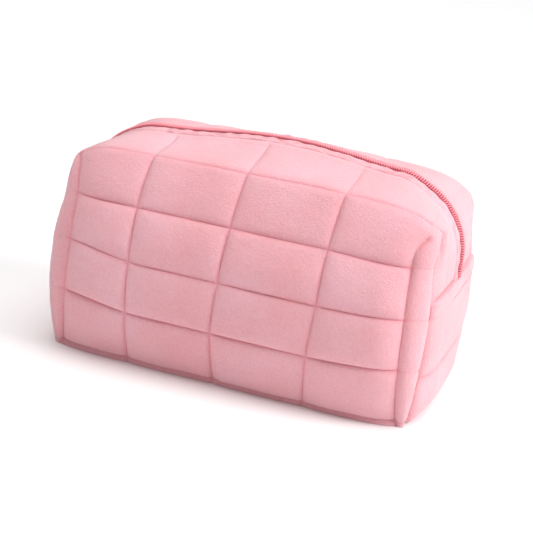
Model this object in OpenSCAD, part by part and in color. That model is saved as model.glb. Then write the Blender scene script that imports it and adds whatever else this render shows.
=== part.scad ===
// Quilted velvet makeup bag: a soft box with a zip that runs over the top and halfway down both ends.
// Origin on the floor under the middle of the bag, X along its length, Y towards the back, Z up.

/* [Body] */
// Half of the bag's length at the zip, measured at mid height
half_length = 111; // [100:1:120]
// Half of the bag's depth at its widest
half_depth = 72; // [66:1:78]
// Half depth where the walls meet the floor
foot_depth = 54; // [50:1:58]
// Half depth at the top edge of the walls
shoulder_depth = 45.5; // [42:0.5:48]
// Height of the walls' top edge at mid length
shoulder_height = 118.3; // [112:0.1:124]
// Height of the fold line, level with the lower ends of the zip
fold_height = 63; // [58:1:68]

/* [Fabric] */
// Thickness of the velvet
velvet = 1.0; // [0.8:0.1:1.2]
// Thickness of the batting
batting = 2.8; // [2:0.1:3]
// Thickness of the lining
lining = 0.5; // [0.3:0.1:0.6]
// Space left between neighbouring layers
layer_gap = 0.1; // [0.05:0.01:0.15]
// Space left between neighbouring panels
panel_gap = 0.2; // [0.1:0.05:0.3]

/* [Zip] */
// Radius of the zip's turn at each end
turn_radius = 41.3; // [38:0.1:44]
// Rise of the zip from its turns to mid length
crown_rise = 4.3; // [2:0.1:6]
// Half of the gap down the middle of the chain
chain_gap = 0.8; // [0.7:0.05:1]
// Outer edge of each row of teeth, from the middle of the chain
coil_edge = 2.7; // [2.4:0.1:3.4]
// Outer edge of the zip's tape and facing, from the middle of the chain
tape_edge = 8.4; // [7.5:0.1:9]

/* [Pull] */
// Length of the slider along the chain
slider_length = 9.4; // [8:0.1:10]
// Length of the pull from its pivot to its tip
pull_length = 25; // [20:1:30]

/* [Colours] */
// Colour of the velvet
velvet_color = "pink"; // [pink, lightpink, hotpink]

/* [Hidden] */

// Levels of the wall, from the floor up, as indexes into the rows below
foot = 0;
fold = 3;
shoulder = 5;
band = 3.33;

// One row per level: half depth, height, half length, corner exponent, end drop, seam angle
rows = [
    [foot_depth, 0.3, half_length - 3, 8, 0, 46],
    [half_depth - 11, 5.5, half_length - 2, 7, 0, 49],
    [half_depth, 33.6, half_length, 6, 0, 52],
    [half_depth, fold_height, half_length, 6, 0, 53],
    [half_depth - 10, 91.5, half_length - 2.5, 6.5, 0, 51.5],
    [shoulder_depth, shoulder_height, half_length - 5.5, 12, 13, 49.5]
];
drop_power = 10;

// Facets of a wall, an end, and the levels below and above the fold
wall_columns = 30;
end_columns = 10;
lower_levels = 9;
upper_levels = 6;
band_levels = 2;
first_tub_level = 2;

// Shares of a panel's width and height that the seams beside it leave
wall_reach = 0.995;
end_reach = 0.985;
band_reach = 0.93;
band_top = band - 0.06;

// Layers as [outer depth, inner depth] below the outer surface
velvet_layer = [0, velvet];
batting_layer = [velvet + layer_gap, velvet + layer_gap + batting];
lining_layer = [batting_layer[1] + layer_gap, batting_layer[1] + layer_gap + lining];
wall_thickness = lining_layer[1];

// Depths of the zip's parts below its path, and the tape's edge under the chain
facing_depth = [0, 1.1];
tape_depth = [1.2, 1.8];
coil_depth = [-0.9, 1.1];
tape_start = 2;

// The zip's path in the XZ plane: a short upright run, a turn, and a crowned run along the top
end_sink = 1.3;
turn_x = half_length - end_sink - turn_radius;
turn_z = 81.6;
seam_sink = 1.2;
seam_y = tape_edge + 0.2;
ridge_share = 0.3;
ridge_turn = 35;
corner_angle = 45;

function lerp(a, b, t) = a + (b - a) * t;
function cubic(a, b, c, d, t) =
    b + t * ((c - a) + t * ((2 * a - 5 * b + 4 * c - d) + t * (3 * b - a - 3 * c + d))) / 2;
function clamp_index(i) = max(0, min(len(rows) - 1, i));

// The row at any level, by a smooth curve through the rows
function row_at(v) =
    let (i = min(floor(v), len(rows) - 2))
    [for (k = [0:5]) cubic(
        rows[clamp_index(i - 1)][k], rows[i][k], rows[i + 1][k], rows[clamp_index(i + 2)][k], v - i)];

// A point of the wall at angle b round the bag (0 is the front), level v and depth d
function wall(b, v, d) =
    let (
        r = row_at(v),
        k = pow(pow(abs(sin(b)), r[3]) + pow(abs(cos(b)), r[3]), -1 / r[3]),
        mitre = max(0, v - shoulder + 1)
    )
    [
        (r[2] - d) * k * sin(b),
        -(r[0] - d) * k * cos(b),
        r[1] - r[4] * pow(abs(k * sin(b)), drop_power) - d * mitre
    ];
function seam_angle(v) = row_at(v)[5];

// A point of the zip's path, l along it from the band (in mm of the turn's outer radius)
band_z = row_at(band)[1] + 0.3;
upright = turn_z - band_z;
turn_length = turn_radius * PI / 2;
function turn_point(l, d) =
    l < upright
        ? [turn_x + turn_radius - d, band_z + l]
        : let (a = min(90, (l - upright) / turn_radius * 180 / PI))
            [turn_x + (turn_radius - d) * cos(a), turn_z + (turn_radius - d) * sin(a)];
function crown_point(x, d) =
    [x, turn_z + turn_radius - d + crown_rise * (1 + cos(180 * x / turn_x)) / 2];

// The edges of the top strip at station q, from 0 at the band to 1 at mid length
function outer_edge(q, d) =
    q < ridge_share
        ? let (v = lerp(band, shoulder, q / ridge_share)) wall(seam_angle(v), v, d)
        : wall(seam_angle(shoulder) * (1 - q) / (1 - ridge_share), shoulder, d);
function inner_edge(q, d) =
    let (
        x = outer_edge(q, 0)[0],
        split = upright + turn_radius * ridge_turn * PI / 180,
        full = upright + turn_length,
        b = seam_angle(shoulder) * (1 - q) / (1 - ridge_share),
        b_turn = atan(turn_x / rows[shoulder][2]),
        along = (seam_angle(shoulder) - b) / (seam_angle(shoulder) - b_turn),
        p = q < ridge_share
            ? turn_point(split * q / ridge_share, d + seam_sink)
            : x > turn_x
                ? turn_point(lerp(split, full, along), d + seam_sink)
                : crown_point(x, d + seam_sink)
    )
    [p[0], -seam_y, p[1]];
function strip_point(q, t, d) =
    let (
        s = q <= 1 ? 1 : -1,
        h = q <= 1 ? q : 2 - q,
        a = inner_edge(h, d),
        b = outer_edge(h, d),
        m = lerp(a, b, t)
    )
    [s * m[0], m[1], m[2]];

// A closed shell between two grids of points, outer and inner, each rows of equal length
module shell(outer, inner) {
    n = len(outer);
    m = len(outer[0]);
    points = concat([for (r = outer) each r], [for (r = inner) each r]);
    function o(i, j) = i * m + j;
    function p(i, j) = n * m + i * m + j;
    faces = concat(
        [for (i = [0:n - 2], j = [0:m - 2]) [o(i, j), o(i, j + 1), o(i + 1, j + 1)]],
        [for (i = [0:n - 2], j = [0:m - 2]) [o(i, j), o(i + 1, j + 1), o(i + 1, j)]],
        [for (i = [0:n - 2], j = [0:m - 2]) [p(i, j), p(i + 1, j + 1), p(i, j + 1)]],
        [for (i = [0:n - 2], j = [0:m - 2]) [p(i, j), p(i + 1, j), p(i + 1, j + 1)]],
        [for (i = [0:n - 2]) [o(i, 0), o(i + 1, 0), p(i + 1, 0)]],
        [for (i = [0:n - 2]) [o(i, 0), p(i + 1, 0), p(i, 0)]],
        [for (i = [0:n - 2]) [o(i, m - 1), p(i + 1, m - 1), o(i + 1, m - 1)]],
        [for (i = [0:n - 2]) [o(i, m - 1), p(i, m - 1), p(i + 1, m - 1)]],
        [for (j = [0:m - 2]) [o(0, j), p(0, j), p(0, j + 1)]],
        [for (j = [0:m - 2]) [o(0, j), p(0, j + 1), o(0, j + 1)]],
        [for (j = [0:m - 2]) [o(n - 1, j), p(n - 1, j + 1), p(n - 1, j)]],
        [for (j = [0:m - 2]) [o(n - 1, j), o(n - 1, j + 1), p(n - 1, j + 1)]]
    );
    polyhedron(points, faces, convexity = 8);
}

// A stretch of wall from seam to seam, levels v0 to v1, one layer
function raised(p, dz) = [p[0], p[1], p[2] + dz];
function wall_grid(v0, v1, d, nv, lift0, lift1) = [
    for (i = [0:nv]) let (v = lerp(v0, v1, i / nv), edge = wall_reach * seam_angle(v)) [
        for (j = [0:wall_columns])
            raised(wall(lerp(-edge, edge, j / wall_columns), v, d), lerp(lift0, lift1, i / nv))
    ]
];
module wall_panel(layer, v0, v1, nv, lift0, lift1) {
    shell(
        wall_grid(v0, v1, layer[0], nv, lift0, lift1),
        wall_grid(v0, v1, layer[1], nv, lift0, lift1)
    );
}
module upper_wall(layer) {
    wall_panel(layer, fold, shoulder, upper_levels, panel_gap, -panel_gap);
}
module lower_wall(layer) {
    wall_panel(layer, foot, fold, lower_levels, 0, -panel_gap);
}

// An end panel below the band, between the two corner seams
function end_grid(v0, v1, d, nv, lift0, lift1, reach) = [
    for (i = [0:nv]) let (v = lerp(v0, v1, i / nv), edge = reach * (90 - seam_angle(v))) [
        for (j = [0:end_columns])
            raised(wall(lerp(90 - edge, 90 + edge, j / end_columns), v, d), lerp(lift0, lift1, i / nv))
    ]
];
module end_panel(layer) {
    shell(
        end_grid(foot, fold, layer[0], lower_levels, 0, -panel_gap, end_reach),
        end_grid(foot, fold, layer[1], lower_levels, 0, -panel_gap, end_reach)
    );
}
function band_grid(d) = end_grid(fold, band_top, d, band_levels, panel_gap, 0, band_reach);
module end_band() {
    shell(band_grid(-velvet / 2), band_grid(wall_thickness));
}

// A stretch of the strip beside the zip, along a list of stations, one layer
corner_station = 1 - (1 - ridge_share) * corner_angle / seam_angle(shoulder);
gusset_steps = 10;
top_steps = 26;
strip_columns = 4;
gusset_stations = [for (i = [0:gusset_steps]) corner_station * i / gusset_steps];
top_stations = [for (i = [0:top_steps]) lerp(corner_station, 2 - corner_station, i / top_steps)];
far_stations = [for (i = [gusset_steps:-1:0]) 2 - corner_station * i / gusset_steps];
all_stations = concat(
    gusset_stations,
    [for (i = [1:top_steps - 1]) top_stations[i]],
    far_stations
);
function strip_grid(stations, d) = [
    for (q = stations) [
        for (j = [0:strip_columns]) strip_point(q, wall_reach * j / strip_columns, d)
    ]
];
module strip(layer, stations) {
    shell(strip_grid(stations, layer[1]), strip_grid(stations, layer[0]));
}

// A ribbon that follows the zip from band to band, y0 to y1 across
turn_steps = 14;
crown_steps = 24;
function half_path(d) = [
    for (i = [0:turn_steps]) turn_point(lerp(0, upright + turn_length, i / turn_steps), d)
];
function zip_path(d) = concat(
    half_path(d),
    [for (i = [1:crown_steps - 1]) crown_point(lerp(turn_x, -turn_x, i / crown_steps), d)],
    [for (i = [turn_steps:-1:0]) let (p = half_path(d)[i]) [-p[0], p[1]]]
);
module zip_ribbon(y0, y1, depth) {
    shell(
        [for (p = zip_path(depth[1])) [[p[0], -y0, p[1]], [p[0], -y1, p[1]]]],
        [for (p = zip_path(depth[0])) [[p[0], -y0, p[1]], [p[0], -y1, p[1]]]]
    );
}

// The floor of the bag: a flat plate inside the foot of the walls
function foot_outline(d) = [for (b = [0:6:354]) let (p = wall(b, foot, d)) [p[0], p[1]]];
module floor_plate(z0, z1) {
    translate([0, 0, z0])
        linear_extrude(z1 - z0)
            polygon(foot_outline(wall_thickness + panel_gap));
}

// The lining of the lower half: a tub with a flat floor
function tub_angles(v) = let (a = seam_angle(v)) concat(
    [for (j = [0:wall_columns - 1]) lerp(-a, a, j / wall_columns)],
    [for (j = [0:end_columns - 1]) lerp(a, 180 - a, j / end_columns)],
    [for (j = [0:wall_columns - 1]) lerp(180 - a, 180 + a, j / wall_columns)],
    [for (j = [0:end_columns - 1]) lerp(180 + a, 360 - a, j / end_columns)]
);
function tub_ring(i, d, floor_z) = let (v = fold * i / lower_levels) [
    for (b = tub_angles(v)) let (p = wall(b, v, d))
        [p[0], p[1], max(p[2], floor_z) - panel_gap * i / lower_levels]
];
module lining_tub() {
    floor_z = velvet + batting + 3 * layer_gap;
    outer = lining_layer[0] + layer_gap;
    inner = lining_layer[1] + layer_gap;
    rings = concat(
        [for (i = [first_tub_level:lower_levels]) tub_ring(i, outer, floor_z)],
        [for (i = [lower_levels:-1:first_tub_level]) tub_ring(i, inner, floor_z + lining)]
    );
    nb = len(rings[0]);
    n = len(rings);
    points = [for (r = rings) each r];
    function at(i, j) = i * nb + (j % nb);
    faces = concat(
        [[for (j = [0:nb - 1]) at(0, j)]],
        [[for (j = [nb - 1:-1:0]) at(n - 1, j)]],
        [for (i = [0:n - 2], j = [0:nb - 1]) [at(i, j), at(i + 1, j), at(i + 1, j + 1)]],
        [for (i = [0:n - 2], j = [0:nb - 1]) [at(i, j), at(i + 1, j + 1), at(i, j + 1)]]
    );
    polyhedron(points, faces, convexity = 8);
}

module to_rear() {
    mirror([0, 1, 0])
        children();
}
module to_left() {
    mirror([1, 0, 0])
        children();
}

// Base
module lower_front_panel() {
    color(velvet_color)
        lower_wall(velvet_layer);
}
module lower_rear_panel() {
    color(velvet_color)
        to_rear()
            lower_wall(velvet_layer);
}
module base_panel() {
    color(velvet_color)
        floor_plate(0, velvet);
}
module end_panel_right() {
    color(velvet_color)
        end_panel(velvet_layer);
}
module end_panel_left() {
    color(velvet_color)
        to_left()
            end_panel(velvet_layer);
}
module end_band_right() {
    color("palevioletred")
        end_band();
}
module end_band_left() {
    color("palevioletred")
        to_left()
            end_band();
}
module lower_front_batting() {
    color("white")
        lower_wall(batting_layer);
}
module lower_rear_batting() {
    color("white")
        to_rear()
            lower_wall(batting_layer);
}
module base_batting() {
    color("white")
        floor_plate(velvet + layer_gap, velvet + layer_gap + batting);
}
module end_batting_right() {
    color("white")
        end_panel(batting_layer);
}
module end_batting_left() {
    color("white")
        to_left()
            end_panel(batting_layer);
}
module lower_lining() {
    color("mistyrose")
        lining_tub();
}

// Front half, which folds forward at the fold line
module upper_front_panel() {
    color(velvet_color)
        upper_wall(velvet_layer);
}
module front_top_strip() {
    color(velvet_color)
        strip(velvet_layer, top_stations);
}
module front_gusset_right() {
    color(velvet_color)
        strip(velvet_layer, gusset_stations);
}
module front_gusset_left() {
    color(velvet_color)
        strip(velvet_layer, far_stations);
}
module front_zip_facing() {
    color("hotpink")
        zip_ribbon(coil_edge + panel_gap, tape_edge, facing_depth);
}
module front_zip_tape() {
    color("deeppink")
        zip_ribbon(tape_start, tape_edge, tape_depth);
}
module front_zip_coil() {
    color("deeppink")
        zip_ribbon(chain_gap, coil_edge, coil_depth);
}
module front_wall_batting() {
    color("white")
        upper_wall(batting_layer);
}
module front_top_batting() {
    color("white")
        strip(batting_layer, all_stations);
}
module front_wall_lining() {
    color("mistyrose")
        upper_wall(lining_layer);
}
module front_top_lining() {
    color("mistyrose")
        strip(lining_layer, all_stations);
}

// Rear half, the front half's mirror image
module upper_rear_panel() {
    to_rear()
        upper_front_panel();
}
module rear_top_strip() {
    to_rear()
        front_top_strip();
}
module rear_gusset_right() {
    to_rear()
        front_gusset_right();
}
module rear_gusset_left() {
    to_rear()
        front_gusset_left();
}
module rear_zip_facing() {
    to_rear()
        front_zip_facing();
}
module rear_zip_tape() {
    to_rear()
        front_zip_tape();
}
module rear_zip_coil() {
    to_rear()
        front_zip_coil();
}
module rear_wall_batting() {
    to_rear()
        front_wall_batting();
}
module rear_top_batting() {
    to_rear()
        front_top_batting();
}
module rear_wall_lining() {
    to_rear()
        front_wall_lining();
}
module rear_top_lining() {
    to_rear()
        front_top_lining();
}

// The slider stands on the left end, level with the middle of the zip's turn.
// In its own frame X points out of the chain, Y across it and Z along it.
top_plate = [1.4, 2.6];
top_width = 8.4;
under_plate = [-3.8, -2.9];
under_width = 4.8;
under_length = slider_length - 1;
pivot_lift = top_plate[1] + 0.95;
arch_wire = 0.6;
arch_radius = 2.5;
arch_sink = 0.2;
post_width = 0.9;
post_length = 3;
post_inset = 0.6;
post_sink = 0.3;
module at_slider() {
    translate([-(turn_x + turn_radius), 0, turn_z])
        rotate([0, 0, 180])
            children();
}
module plate(span, width, length) {
    r = width / 4;
    translate([span[0], 0, 0])
        rotate([90, 0, 90])
            linear_extrude(span[1] - span[0])
                union() {
                    square([width, length - 2 * r], center = true);
                    square([width - 2 * r, length], center = true);
                    for (x = [-1, 1], y = [-1, 1])
                        translate([x * (width / 2 - r), y * (length / 2 - r)])
                            circle(r, $fn = 32);
                }
}
module zip_slider() {
    color("palevioletred")
        at_slider() {
            plate(top_plate, top_width, slider_length);
            plate(under_plate, under_width, under_length);
            translate([under_plate[1] - post_sink, -post_width / 2, post_inset - slider_length / 2])
                cube([top_plate[0] - under_plate[1] + 2 * post_sink, post_width, post_length]);
            translate([top_plate[1] - arch_sink, 0, 0])
                rotate([90, 0, 0])
                    rotate([0, 0, -90])
                        rotate_extrude(angle = 180, $fn = 48)
                            translate([arch_radius, 0])
                                circle(arch_wire, $fn = 24);
        }
}

// The pull hangs from a bar that lies under the slider's arch
bar_radius = 0.5;
arm_y = 2.6;
arm_length = 7;
tab_width = 7.6;
tab_thickness = 1.4;
tab_low = 0.2 - tab_thickness / 2;
tab_overlap = 0.5;
tab_round = tab_width / 2 - pull_length;
module zip_pull() {
    color("palevioletred")
        at_slider()
            translate([pivot_lift, 0, 0]) {
                rotate([90, 0, 0])
                    cylinder(r = bar_radius, h = 2 * arm_y, center = true, $fn = 32);
                for (y = [-arm_y, arm_y])
                    translate([-bar_radius, y - bar_radius, -arm_length])
                        cube([2 * bar_radius, 2 * bar_radius, arm_length + bar_radius]);
                translate([tab_low, -tab_width / 2, tab_round])
                    cube([tab_thickness, tab_width, tab_overlap - arm_length - tab_round]);
                translate([tab_low, 0, tab_round])
                    rotate([0, 90, 0])
                        cylinder(r = tab_width / 2, h = tab_thickness, $fn = 48);
            }
}

lower_front_panel();
lower_rear_panel();
base_panel();
end_panel_left();
end_panel_right();
end_band_left();
end_band_right();
lower_front_batting();
lower_rear_batting();
base_batting();
end_batting_left();
end_batting_right();
lower_lining();
upper_front_panel();
front_top_strip();
front_gusset_left();
front_gusset_right();
front_zip_facing();
front_zip_tape();
front_zip_coil();
front_wall_batting();
front_top_batting();
front_wall_lining();
front_top_lining();
upper_rear_panel();
rear_top_strip();
rear_gusset_left();
rear_gusset_right();
rear_zip_facing();
rear_zip_tape();
rear_zip_coil();
rear_wall_batting();
rear_top_batting();
rear_wall_lining();
rear_top_lining();
zip_slider();
zip_pull();
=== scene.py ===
import math

import bmesh
import bpy
import numpy as np
from mathutils import Matrix, Vector


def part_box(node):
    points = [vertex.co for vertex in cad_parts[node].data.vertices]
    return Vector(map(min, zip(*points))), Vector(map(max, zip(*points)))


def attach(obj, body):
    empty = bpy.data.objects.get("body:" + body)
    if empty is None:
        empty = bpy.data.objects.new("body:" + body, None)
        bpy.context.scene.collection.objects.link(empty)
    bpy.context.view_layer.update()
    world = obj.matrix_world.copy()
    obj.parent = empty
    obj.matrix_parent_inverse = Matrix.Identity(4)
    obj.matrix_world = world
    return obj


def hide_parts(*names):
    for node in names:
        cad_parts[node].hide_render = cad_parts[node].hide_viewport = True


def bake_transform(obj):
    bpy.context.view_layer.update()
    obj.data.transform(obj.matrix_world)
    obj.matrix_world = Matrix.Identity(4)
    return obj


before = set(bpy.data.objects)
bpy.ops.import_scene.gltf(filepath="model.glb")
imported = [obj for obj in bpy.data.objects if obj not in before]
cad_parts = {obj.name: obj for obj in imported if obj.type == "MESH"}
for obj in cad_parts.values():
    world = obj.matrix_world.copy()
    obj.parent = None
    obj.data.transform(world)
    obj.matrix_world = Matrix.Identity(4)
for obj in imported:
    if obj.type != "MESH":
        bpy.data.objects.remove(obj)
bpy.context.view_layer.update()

MM = 0.001


def box_mm(node):
    """The low and high corners of a CAD node's box, in mm."""
    low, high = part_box(node)
    return np.array(low) / MM, np.array(high) / MM


# ---------------- the bag's sizes, from the frame
PANEL_GAP = 0.2
HALF_LENGTH = box_mm("end_panel_right")[1][0] - 0.2
HALF_DEPTH = -box_mm("lower_front_panel")[0][1] - 1.2
FOLD_Z = box_mm("lower_front_panel")[1][2] + PANEL_GAP
SHOULDER_Z = box_mm("upper_front_panel")[1][2] + PANEL_GAP
ZIP_OUT = box_mm("front_zip_facing")[1][0]
ZIP_TOP = box_mm("front_zip_facing")[1][2]
TAPE_EDGE = -box_mm("front_zip_facing")[0][1]
# The zip's turn over each end: its radius, and the height and place of its centre
TURN_RADIUS = 41.3
TURN_Z = 81.6
TURN_X = ZIP_OUT - TURN_RADIUS
CROWN_RISE = ZIP_TOP - TURN_Z - TURN_RADIUS
# The seam beside the zip lies this deep below the zip's path, and this far from its middle
SEAM_SINK = 1.2
SEAM_Y = TAPE_EDGE + PANEL_GAP
# A strip passes the bag's upper corner at this share of its way, where the zip is this far round its turn
RIDGE_SHARE = 0.3
RIDGE_TURN = math.radians(35)
# Levels of the upper edge of the end bands and of the shoulder
BAND = 3.33
SHOULDER = 5
# The shoulder drops towards the ends with this power of the way out
DROP_POWER = 10

# The wall at each level: half depth, height, half length, corner exponent, end drop, seam angle
ROWS = np.array([
    [54, 0.3, HALF_LENGTH - 3, 8, 0, 46],
    [HALF_DEPTH - 11, 5.5, HALF_LENGTH - 2, 7, 0, 49],
    [HALF_DEPTH, 33.6, HALF_LENGTH, 6, 0, 52],
    [HALF_DEPTH, FOLD_Z, HALF_LENGTH, 6, 0, 53],
    [HALF_DEPTH - 10, 91.5, HALF_LENGTH - 2.5, 6.5, 0, 51.5],
    [45.5, SHOULDER_Z, HALF_LENGTH - 5.5, 12, 13, 49.5],
], float)

# Stitch lines of the quilting, along the bag, and how far each strays at the levels below
LINES = [-94.0, -56.7, -3.7, 49.3, 96.5]
STRAY_LEVELS = [0, 1, 2, 3, 4, 4.4, 4.75, 5]
STRAY = [
    [-3.5, -2.8, 0.2, 1.2, -1.2, -3.8, -5.6, -6.2],
    [1.5, 1.5, 2.1, 1.2, -0.7, -0.5, -0.2, 0.0],
    [-1.0, -1.0, -1.6, -0.6, -0.4, 0.0, 0.3, 0.5],
    [-1.8, -1.8, -0.5, 1.2, 0.7, 1.5, 2.0, 2.4],
    [3.0, 1.8, 1.4, 0.3, -1.9, -2.5, 0.5, 2.0],
]
# How far the level lines rise towards the left and right corners, in mm
RISE_LEVELS = [0, 1, 2, 3, 4, 5]
RISE_LEFT = [0, 0, 4.0, 4.0, -0.7, 0]
RISE_RIGHT = [0, 0, 2.0, 0.8, -1.6, 0]
# The size of a cell, and the level of the lowest stitch line
CELL_WIDTH = 53
CELL_HEIGHT = 28.5
LOWEST_LINE = 0.8

MIDDLE = np.array([0, 0, FOLD_Z])

# Layers below the outer surface: the velvet's thickness, and the depths of the lining's two faces
VELVET = 0.8
LINING_OUT = 4.0
LINING_IN = 4.5
# Free space between two layers
LAYER_GAP = 0.05
# In a deep stitch line the velvet's inner face and the wadding's outer one go no deeper than this
VELVET_DEEPEST = -3.85
WADDING_DEEPEST = -3.9
# How far above the ground the velvet's two faces and the wadding stay
OUTER_CLEAR = 0.05
INNER_CLEAR = 0.35
WADDING_CLEAR = 0.4


# ---------------- small helpers
def above_floor(p, z):
    """The points p, in mm, with none of them lower than z."""
    q = p.copy()
    q[..., 2] = np.maximum(q[..., 2], z)
    return q


def velvet_inside(p, n, h):
    """The velvet's inner face, where its outer one stands h off the surface p with normals n."""
    return p + n * np.maximum(h - VELVET, VELVET_DEEPEST)[..., None]


def wadding_outside(p, n, h):
    """The wadding's outer face, just under the velvet."""
    return p + n * np.maximum(h - VELVET - LAYER_GAP, WADDING_DEEPEST)[..., None]


def wadding_inside(p, n):
    """The wadding's inner face, just off the lining."""
    return p - n * (LINING_OUT - LAYER_GAP)


def mix(a, b, t):
    return a + (b - a) * t


def smooth(t):
    """0 below 0, 1 above 1, and a smooth step between."""
    t = np.clip(t, 0, 1)
    return t * t * (3 - 2 * t)


def row_at(v):
    """The row at levels v, by a smooth curve through the rows; the last axis is the row's entry."""
    v = np.asarray(v, float)
    i = np.clip(np.floor(v).astype(int), 0, len(ROWS) - 2)
    t = (v - i)[..., None]
    a, b, c, d = (ROWS[np.clip(i + k, 0, len(ROWS) - 1)] for k in (-1, 0, 1, 2))
    return b + t * ((c - a) + t * ((2 * a - 5 * b + 4 * c - d) + t * (3 * b - a - 3 * c + d))) / 2


def seam_angle(v):
    """The angle round the bag at which an end seam lies, at level v."""
    return np.radians(row_at(v)[..., 5])


def wall(b, v):
    """A point of the wall at angle b round the bag (0 is the front) and level v."""
    b, v = np.broadcast_arrays(np.asarray(b, float), np.asarray(v, float))
    r = row_at(v)
    n = r[..., 3]
    k = (np.abs(np.sin(b)) ** n + np.abs(np.cos(b)) ** n) ** (-1 / n)
    drop = np.maximum(r[..., 4], 0)
    return np.stack([
        r[..., 2] * k * np.sin(b),
        -r[..., 0] * k * np.cos(b),
        r[..., 1] - drop * np.abs(k * np.sin(b)) ** DROP_POWER,
    ], -1)


def angle_at(x, v):
    """The angle at which the wall at level v is at x."""
    r = row_at(v)
    n = r[..., 3]
    share = np.clip(np.abs(x) / r[..., 2], 0, 0.9999)
    return np.sign(x) * np.arctan2(share, (1 - share ** n) ** (1 / n))


BAND_Z = row_at(BAND)[1] + 0.3
UPRIGHT = TURN_Z - BAND_Z
TURN_LENGTH = TURN_RADIUS * math.pi / 2


def turn_point(l, d):
    """The zip's path from the band up and round the turn, at length l and depth d."""
    a = np.clip((l - UPRIGHT) / TURN_RADIUS, 0, math.pi / 2)
    x = np.where(l < UPRIGHT, TURN_X + TURN_RADIUS - d, TURN_X + (TURN_RADIUS - d) * np.cos(a))
    z = np.where(l < UPRIGHT, BAND_Z + l, TURN_Z + (TURN_RADIUS - d) * np.sin(a))
    return x, z


def crown_z(x, d):
    """The height of the zip's path over the top of the bag, at depth d."""
    return TURN_Z + TURN_RADIUS - d + CROWN_RISE * (1 + np.cos(math.pi * x / TURN_X)) / 2


def outer_edge(q):
    """The strip's outer edge: up the end seam to the upper corner, and then along the shoulder."""
    v = np.where(q < RIDGE_SHARE, mix(BAND, SHOULDER, q / RIDGE_SHARE), SHOULDER)
    b = np.where(q < RIDGE_SHARE, seam_angle(v), seam_angle(SHOULDER) * (1 - q) / (1 - RIDGE_SHARE))
    return wall(b, v)


def inner_edge(q):
    """The strip's inner edge, beside the zip."""
    x = outer_edge(q)[..., 0]
    split = UPRIGHT + TURN_RADIUS * RIDGE_TURN
    full = UPRIGHT + TURN_LENGTH
    corner = seam_angle(SHOULDER)
    b = corner * (1 - q) / (1 - RIDGE_SHARE)
    b_turn = math.atan(TURN_X / ROWS[SHOULDER][2])
    along = (corner - b) / (corner - b_turn)
    low = turn_point(split * q / RIDGE_SHARE, SEAM_SINK)
    high = turn_point(mix(split, full, np.clip(along, 0, 1)), SEAM_SINK)
    px = np.where(q < RIDGE_SHARE, low[0], np.where(x > TURN_X, high[0], x))
    pz = np.where(q < RIDGE_SHARE, low[1], np.where(x > TURN_X, high[1], crown_z(x, SEAM_SINK)))
    return np.stack([px, np.full_like(px, -SEAM_Y), pz], -1)


def strip_point(q, t):
    """A point of the strip beside the zip; q runs from band (0) to band (2), t from the zip (0) out (1)."""
    side = np.where(q <= 1, 1.0, -1.0)
    h = np.where(q <= 1, q, 2 - q)
    p = mix(inner_edge(h), outer_edge(h), np.asarray(t)[..., None])
    return p * np.stack([side, np.ones_like(side), np.ones_like(side)], -1)


def stations(marks, count, crowd=0.65):
    """Numbers through the marks, count to each stretch, closer together beside the marks."""
    found = []
    for a, b, n in zip(marks, marks[1:], count):
        t = np.arange(n) / n
        t = mix(t, (1 - np.cos(math.pi * t)) / 2, crowd)
        found.append(a + (b - a) * t)
    return np.concatenate(found + [[marks[-1]]])


def normals(p):
    """The unit normals of a grid of points, pointing out of the bag."""
    n = np.cross(np.gradient(p, axis=1), np.gradient(p, axis=0))
    n /= np.maximum(np.linalg.norm(n, axis=-1, keepdims=True), 1e-9)
    return n * np.sign((n * (p - MIDDLE)).sum(-1).mean())


def wobble(p, size, seed):
    """A smooth uneven field from about -1 to 1 over the points p, with humps about size mm across."""
    r = np.random.RandomState(seed)
    total = 0
    for _ in range(6):
        d = r.normal(size=3)
        d *= 2 * math.pi / size / np.linalg.norm(d) * r.uniform(0.5, 1.0)
        total = total + np.sin(p @ d + r.uniform(0, 2 * math.pi))
    return total / 3


def pinch(distance, reach):
    """1 on a stitch line, fading out beside it."""
    return np.exp(-np.abs(distance) / reach)


def nearest(x, marks):
    """The distance from x to the nearest of the marks."""
    return np.min([np.abs(x - m) for m in marks], axis=0)


# ---------------- meshes
def place_in_scene(name, data):
    obj = bpy.data.objects.new(name, data)
    bpy.context.scene.collection.objects.link(obj)
    return obj


def shell(name, outer, inner, crease_shade=None):
    """A closed mesh between two grids of points in mm."""
    n, m = outer.shape[:2]
    points = np.concatenate([outer.reshape(-1, 3), inner.reshape(-1, 3)]) * MM
    i, j = np.meshgrid(np.arange(n - 1), np.arange(m - 1), indexing="ij")
    o = i * m + j
    quads = [np.stack([o, o + 1, o + m + 1, o + m], -1).reshape(-1, 4)]
    k = o + n * m
    quads.append(np.stack([k, k + m, k + m + 1, k + 1], -1).reshape(-1, 4))

    def side(edge, flip):
        a, b = edge[:-1], edge[1:]
        q = np.stack([a, a + n * m, b + n * m, b], -1)
        return q[:, ::-1] if flip else q

    rows, cols = np.arange(n), np.arange(m)
    quads += [side(cols, False), side((n - 1) * m + cols, True)]
    quads += [side(rows * m, True), side(rows * m + m - 1, False)]
    return mesh(name, points, np.concatenate(quads).tolist(), crease_shade)


def mesh(name, points, faces, crease_shade=None):
    """An object from points in metres. The painted shade in its creases, from 0 to 1 a point, is read by
    the materials.
    """
    data = bpy.data.meshes.new(name)
    data.from_pydata(points.tolist(), [], faces)
    data.validate()
    data.shade_smooth()
    data.set_sharp_from_angle(angle=math.radians(60))
    made = place_in_scene(name, data)
    if crease_shade is not None:
        values = np.zeros(len(points), np.float32)
        values[:crease_shade.size] = crease_shade.ravel()
        data.attributes.new("crease_shade", "FLOAT", "POINT").data.foreach_set("value", values)
    return made


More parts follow.
